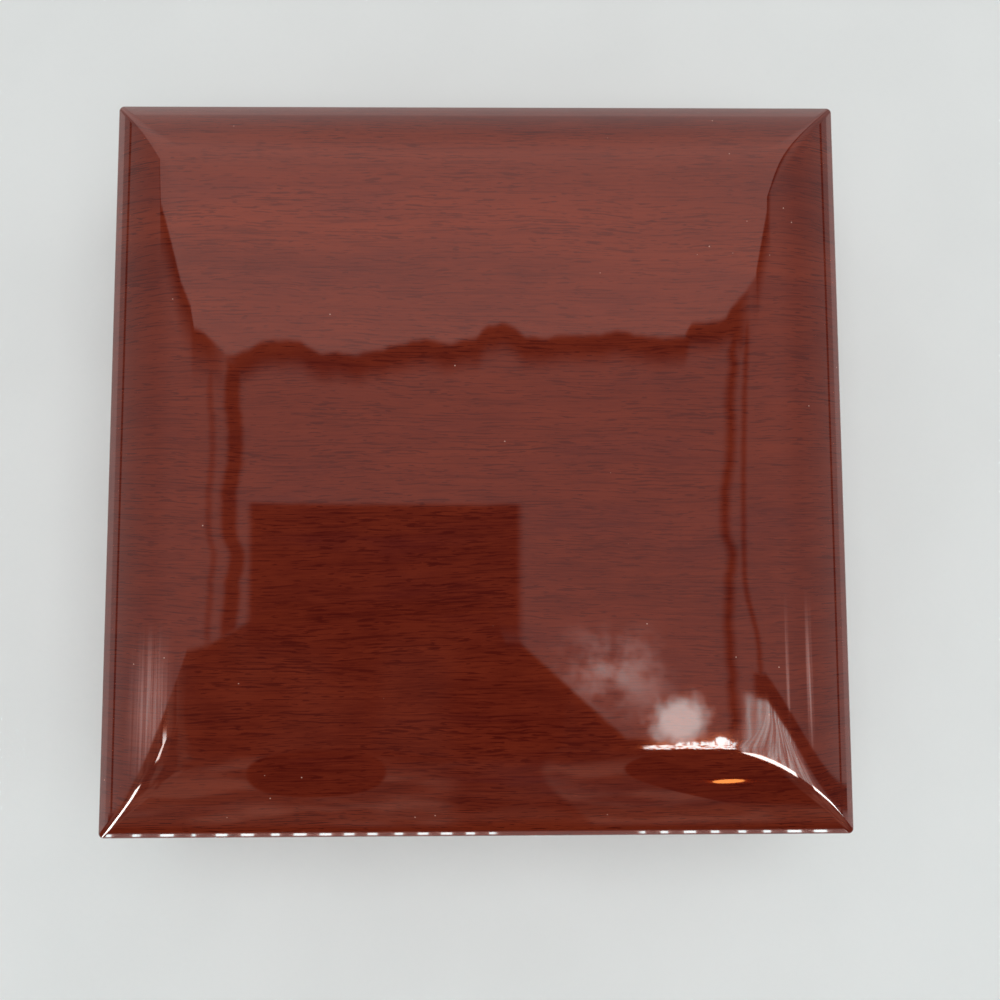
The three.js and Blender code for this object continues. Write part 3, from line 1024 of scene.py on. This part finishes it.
def dark_lines(tree, x, y, z, back_line, seam, band_line):
    """How dark the lines are: beneath the seam, down both sides, bent at the right, and low all round."""
    aside = x.size()
    inside = aside.rise(0.27, 0.25)
    back_edge = (y - back_line).rise(-0.038, -0.012) * inside
    seam_edge = seam.rise(-0.06, -0.003) * aside.rise(0.255, 0.28)
    lines = back_edge.most(seam_edge) * seam.rise(-0.004, 0.004).inverse()

    sway = joined(tree, 0.5, y * 16, 0.5).noise(2) - 0.5
    lengthwise = y.rise(-0.1, -0.05) * (y - back_line).rise(0.002, -0.01)
    left_band = (x + sway * 0.03).near(-0.257, 0.013).rise(0, 0.8) * lengthwise
    left_line = (x + sway * 0.02).near(-0.278, 0.006) * lengthwise * 0.6
    right_band = (x + sway * 0.025).near(0.247, 0.009) * y.between(-0.17, -0.15, 0.245, 0.265)
    right_line = (x - y.rise(0, -0.08) * 0.012).near(0.261, 0.005)
    right_line = right_line * y.between(-0.115, -0.1, 0.24, 0.27) * 0.85
    bent_band = (y - band_line).near(0.004, 0.02).rise(0.05, 0.5) * x.rise(0.262, 0.27)
    horizon = z.near(0.115, 0.035).rise(0.1, 0.7) * aside.rise(0.85, 0.9)
    for line in (left_band, left_line, right_band, right_line, bent_band, horizon):
        lines = lines.most(line)
    return lines


def lamp_light(tree, x, y, z, right_front):
    """A frayed long lamp and the patch over it, strokes along both hips, and a dashed row in front."""
    dots = joined(tree, x * 300, y * 70, 0.5).noise(2, 0.7)
    frayed = y + dots * 0.08
    lamp_top = x.near(0.232, 0.013) * 0.006 - (-x + 0.2).most(0) * 0.2 + dots * 0.01 - 0.1745
    long_lamp = frayed.rise(-0.188, -0.174) * (y - lamp_top).rise(0.001, -0.001)
    long_lamp = long_lamp * x.between(0.154, 0.16, 0.243, 0.248) * dots.rise(0.4, 0.52)

    drape = joined(tree, x * 40, y * 34, 0.5).noise(2, 0.6)
    patch_x = x.near(0.192, 0.048)
    patch_y = y.near(-0.149, 0.042)
    patch = (patch_x * patch_y + (drape - 0.5) * 1.2).rise(0.1, 0.8)
    patch = patch * patch_x.rise(0, 0.2) * patch_y.rise(0, 0.2)

    right_hip = (y - right_front).size().rise(0.026, 0.012) * y.rise(-0.25, -0.27)
    right_hip = right_hip * (x.between(0.25, 0.258, 0.46, 0.48) + x.rise(0.6, 0.62))
    left_curve = (-y - 0.5).most(0).squared() * 1.3
    left_hip = (x - left_curve).near(-0.69, 0.05).rise(0.2, 0.5) * y.between(-0.82, -0.8, -0.34, -0.32)
    left_stroke = x.near(-0.55, 0.035).rise(0.1, 0.6) * y.near(-0.2, 0.06).rise(0, 0.3)

    beat = (x * 264).math("SINE") + joined(tree, x * 60, 0.5, 0.5).noise(2) * 4 - 2
    dashes = z.between(-0.002, 0.006, 0.034, 0.042) * y.rise(-0.6, -0.75) * x.size().rise(0.43, 0.4)
    dashes = dashes * beat.rise(0.25, 0.45) * (x - 0.078).size().rise(0.068, 0.074)

    light = long_lamp * LONG_LAMP_LIGHT + patch * PATCH_LIGHT + (right_hip + left_hip) * HIP_LIGHT
    return light + left_stroke * STROKE_LIGHT + dashes * DASH_LIGHT


def glossy_room(tree, x, y, z):
    """How bright the studio looks in the gloss, and where its glint and its dark front area lie."""
    aside = x.size()
    inside = aside.rise(0.27, 0.25)
    back_line = back_seam(tree, x, y, inside)
    seam = beyond_seam(x, y, back_line)
    behind = seam.rise(-0.004, 0.004)
    from_corner = x - 0.27
    band_line = from_corner * -0.1 - from_corner.squared() * 0.06 - 0.116
    right_front = (x - 0.6).squared() * 1.3 - 0.41
    front = (y - front_edge(x, right_front)).rise(0.004, -0.004)

    level = wall_light(y, aside, behind) + window_light(tree, x, y, z, band_line)
    level = level.towards(front_light(tree, x, y, z), front)
    lines = dark_lines(tree, x, y, z, back_line, seam, band_line)
    level = level.towards(DARK_LINE_LIGHT, lines * front.inverse() * 0.95)
    card = y.between(-0.1, -0.05, 0.07, 0.077) * x.between(-0.247, -0.238, 0.028, 0.04)
    level = level.towards(CARD_LIGHT, card)
    glint = x.near(0.236, 0.024) * (y - (x - 0.236) * 0.6).near(-0.62, 0.034)
    level = level + lamp_light(tree, x, y, z, right_front) + glint.rise(0.25, 0.4) * GLINT_LIGHT
    return level, glint, front


def add_world():
    """A plain white studio. Only gloss sees what stands round it."""
    plain = 0.45
    warm = (1, 0.8, 0.66, 1)
    cool = (0.62, 0.94, 1, 1)
    orange = (1, 0.55, 0.14, 1)
    world = bpy.data.worlds.new("studio")
    world.use_nodes = True
    bpy.context.scene.world = world
    tree = world.node_tree
    background = tree.nodes["Background"]
    coordinates = tree.nodes.new("ShaderNodeTexCoord")
    x, y, z = Field(tree, coordinates.outputs["Generated"]).parts()
    level, glint, front = glossy_room(tree, x, y, z)
    rays = tree.nodes.new("ShaderNodeLightPath")
    glossy = Field(tree, rays.outputs["Is Glossy Ray"])
    camera = Field(tree, rays.outputs["Is Camera Ray"])
    through_glass = Field(tree, rays.outputs["Is Transmission Ray"])
    strength = (glossy * (level - plain) + plain).towards(BACKDROP, camera.most(through_glass))
    connect(tree, strength, background.inputs["Strength"])
    in_gloss = glossy * through_glass.inverse()
    colour = blended(tree, front * z.rise(0.1, 0.3) * in_gloss, WHITE, warm)
    colour = blended(tree, level.rise(1.3, 4) * in_gloss, colour, cool)
    colour = blended(tree, glint.rise(0, 0.2) * in_gloss, colour, orange)
    connect(tree, colour, background.inputs["Color"])


def add_light():
    """One wide soft light overhead, aimed at the box."""
    data = bpy.data.lights.new("overhead", "AREA")
    data.shape = "SQUARE"
    data.size = 1.6
    data.energy = 16
    light = bpy.data.objects.new("overhead", data)
    light.location = (0.12, 0, 1.5)
    light.rotation_euler = (-light.location).to_track_quat("-Z", "Y").to_euler()
    light.visible_glossy = False
    light.visible_camera = False
    bpy.context.scene.collection.objects.link(light)


def add_floor():
    """A pale, faintly mottled table top that runs out into the backdrop well away from the box."""
    reach = 6
    level = -0.02 * MM
    fade_start = 260
    fade_end = 1000
    finish = Finish("pale_table", {"Roughness": 0.55, "Specular IOR Level": 0.3})
    tree = finish.tree
    place = finish.place()
    mottle = place.per(60, 60, 1).noise(3, 0.5)
    colour = blended(tree, mottle.rise(0.3, 0.7), srgb(222, 225, 224), srgb(225, 228, 227))
    finish.drive("Base Color", colour)

    x, y, _ = place.parts()
    distance = (x.squared() + y.squared()).math("SQRT")
    rays = tree.nodes.new("ShaderNodeLightPath")
    camera = Field(tree, rays.outputs["Is Camera Ray"])
    looking = camera.most(Field(tree, rays.outputs["Is Glossy Ray"]))
    glow = tree.nodes.new("ShaderNodeEmission")
    glow.inputs["Strength"].default_value = BACKDROP
    glow.inputs["Color"].default_value = WHITE
    mix = tree.nodes.new("ShaderNodeMixShader")
    connect(tree, distance.rise(fade_start, fade_end) * looking, mix.inputs["Fac"])
    tree.links.new(finish.shader.outputs[0], mix.inputs[1])
    tree.links.new(glow.outputs[0], mix.inputs[2])
    tree.links.new(mix.outputs[0], tree.nodes["Material Output"].inputs["Surface"])

    mesh = bpy.data.meshes.new("table")
    corners = []
    for x_side, y_side in ((-1, -1), (1, -1), (1, 1), (-1, 1)):
        corners.append((x_side * reach, y_side * reach, level))
    mesh.from_pydata(corners, [], [(0, 1, 2, 3)])
    mesh.materials.append(finish.material)
    table = bpy.data.objects.new("table", mesh)
    bpy.context.scene.collection.objects.link(table)


add_camera()
add_world()
add_light()
add_floor()
add_lid_top()
add_lid_lining()
add_mirror()
for tier, body in (("base", "base_tier"), ("upper", "upper_tier")):
    add_floor_pad(tier, body)
    for quarter in range(4):
        add_liner(tier, body, quarter)
    add_divider(f"{tier}_divider_long", body, 0)
    for side in ("left", "right"):
        add_divider(f"{tier}_divider_cross_{side}", body, 1)
add_ring_board()
for number in range(1, 7):
    add_ring_roll(number)
add_felt()
dress_nodes()

bpy.context.scene.view_settings.view_transform = "Standard"
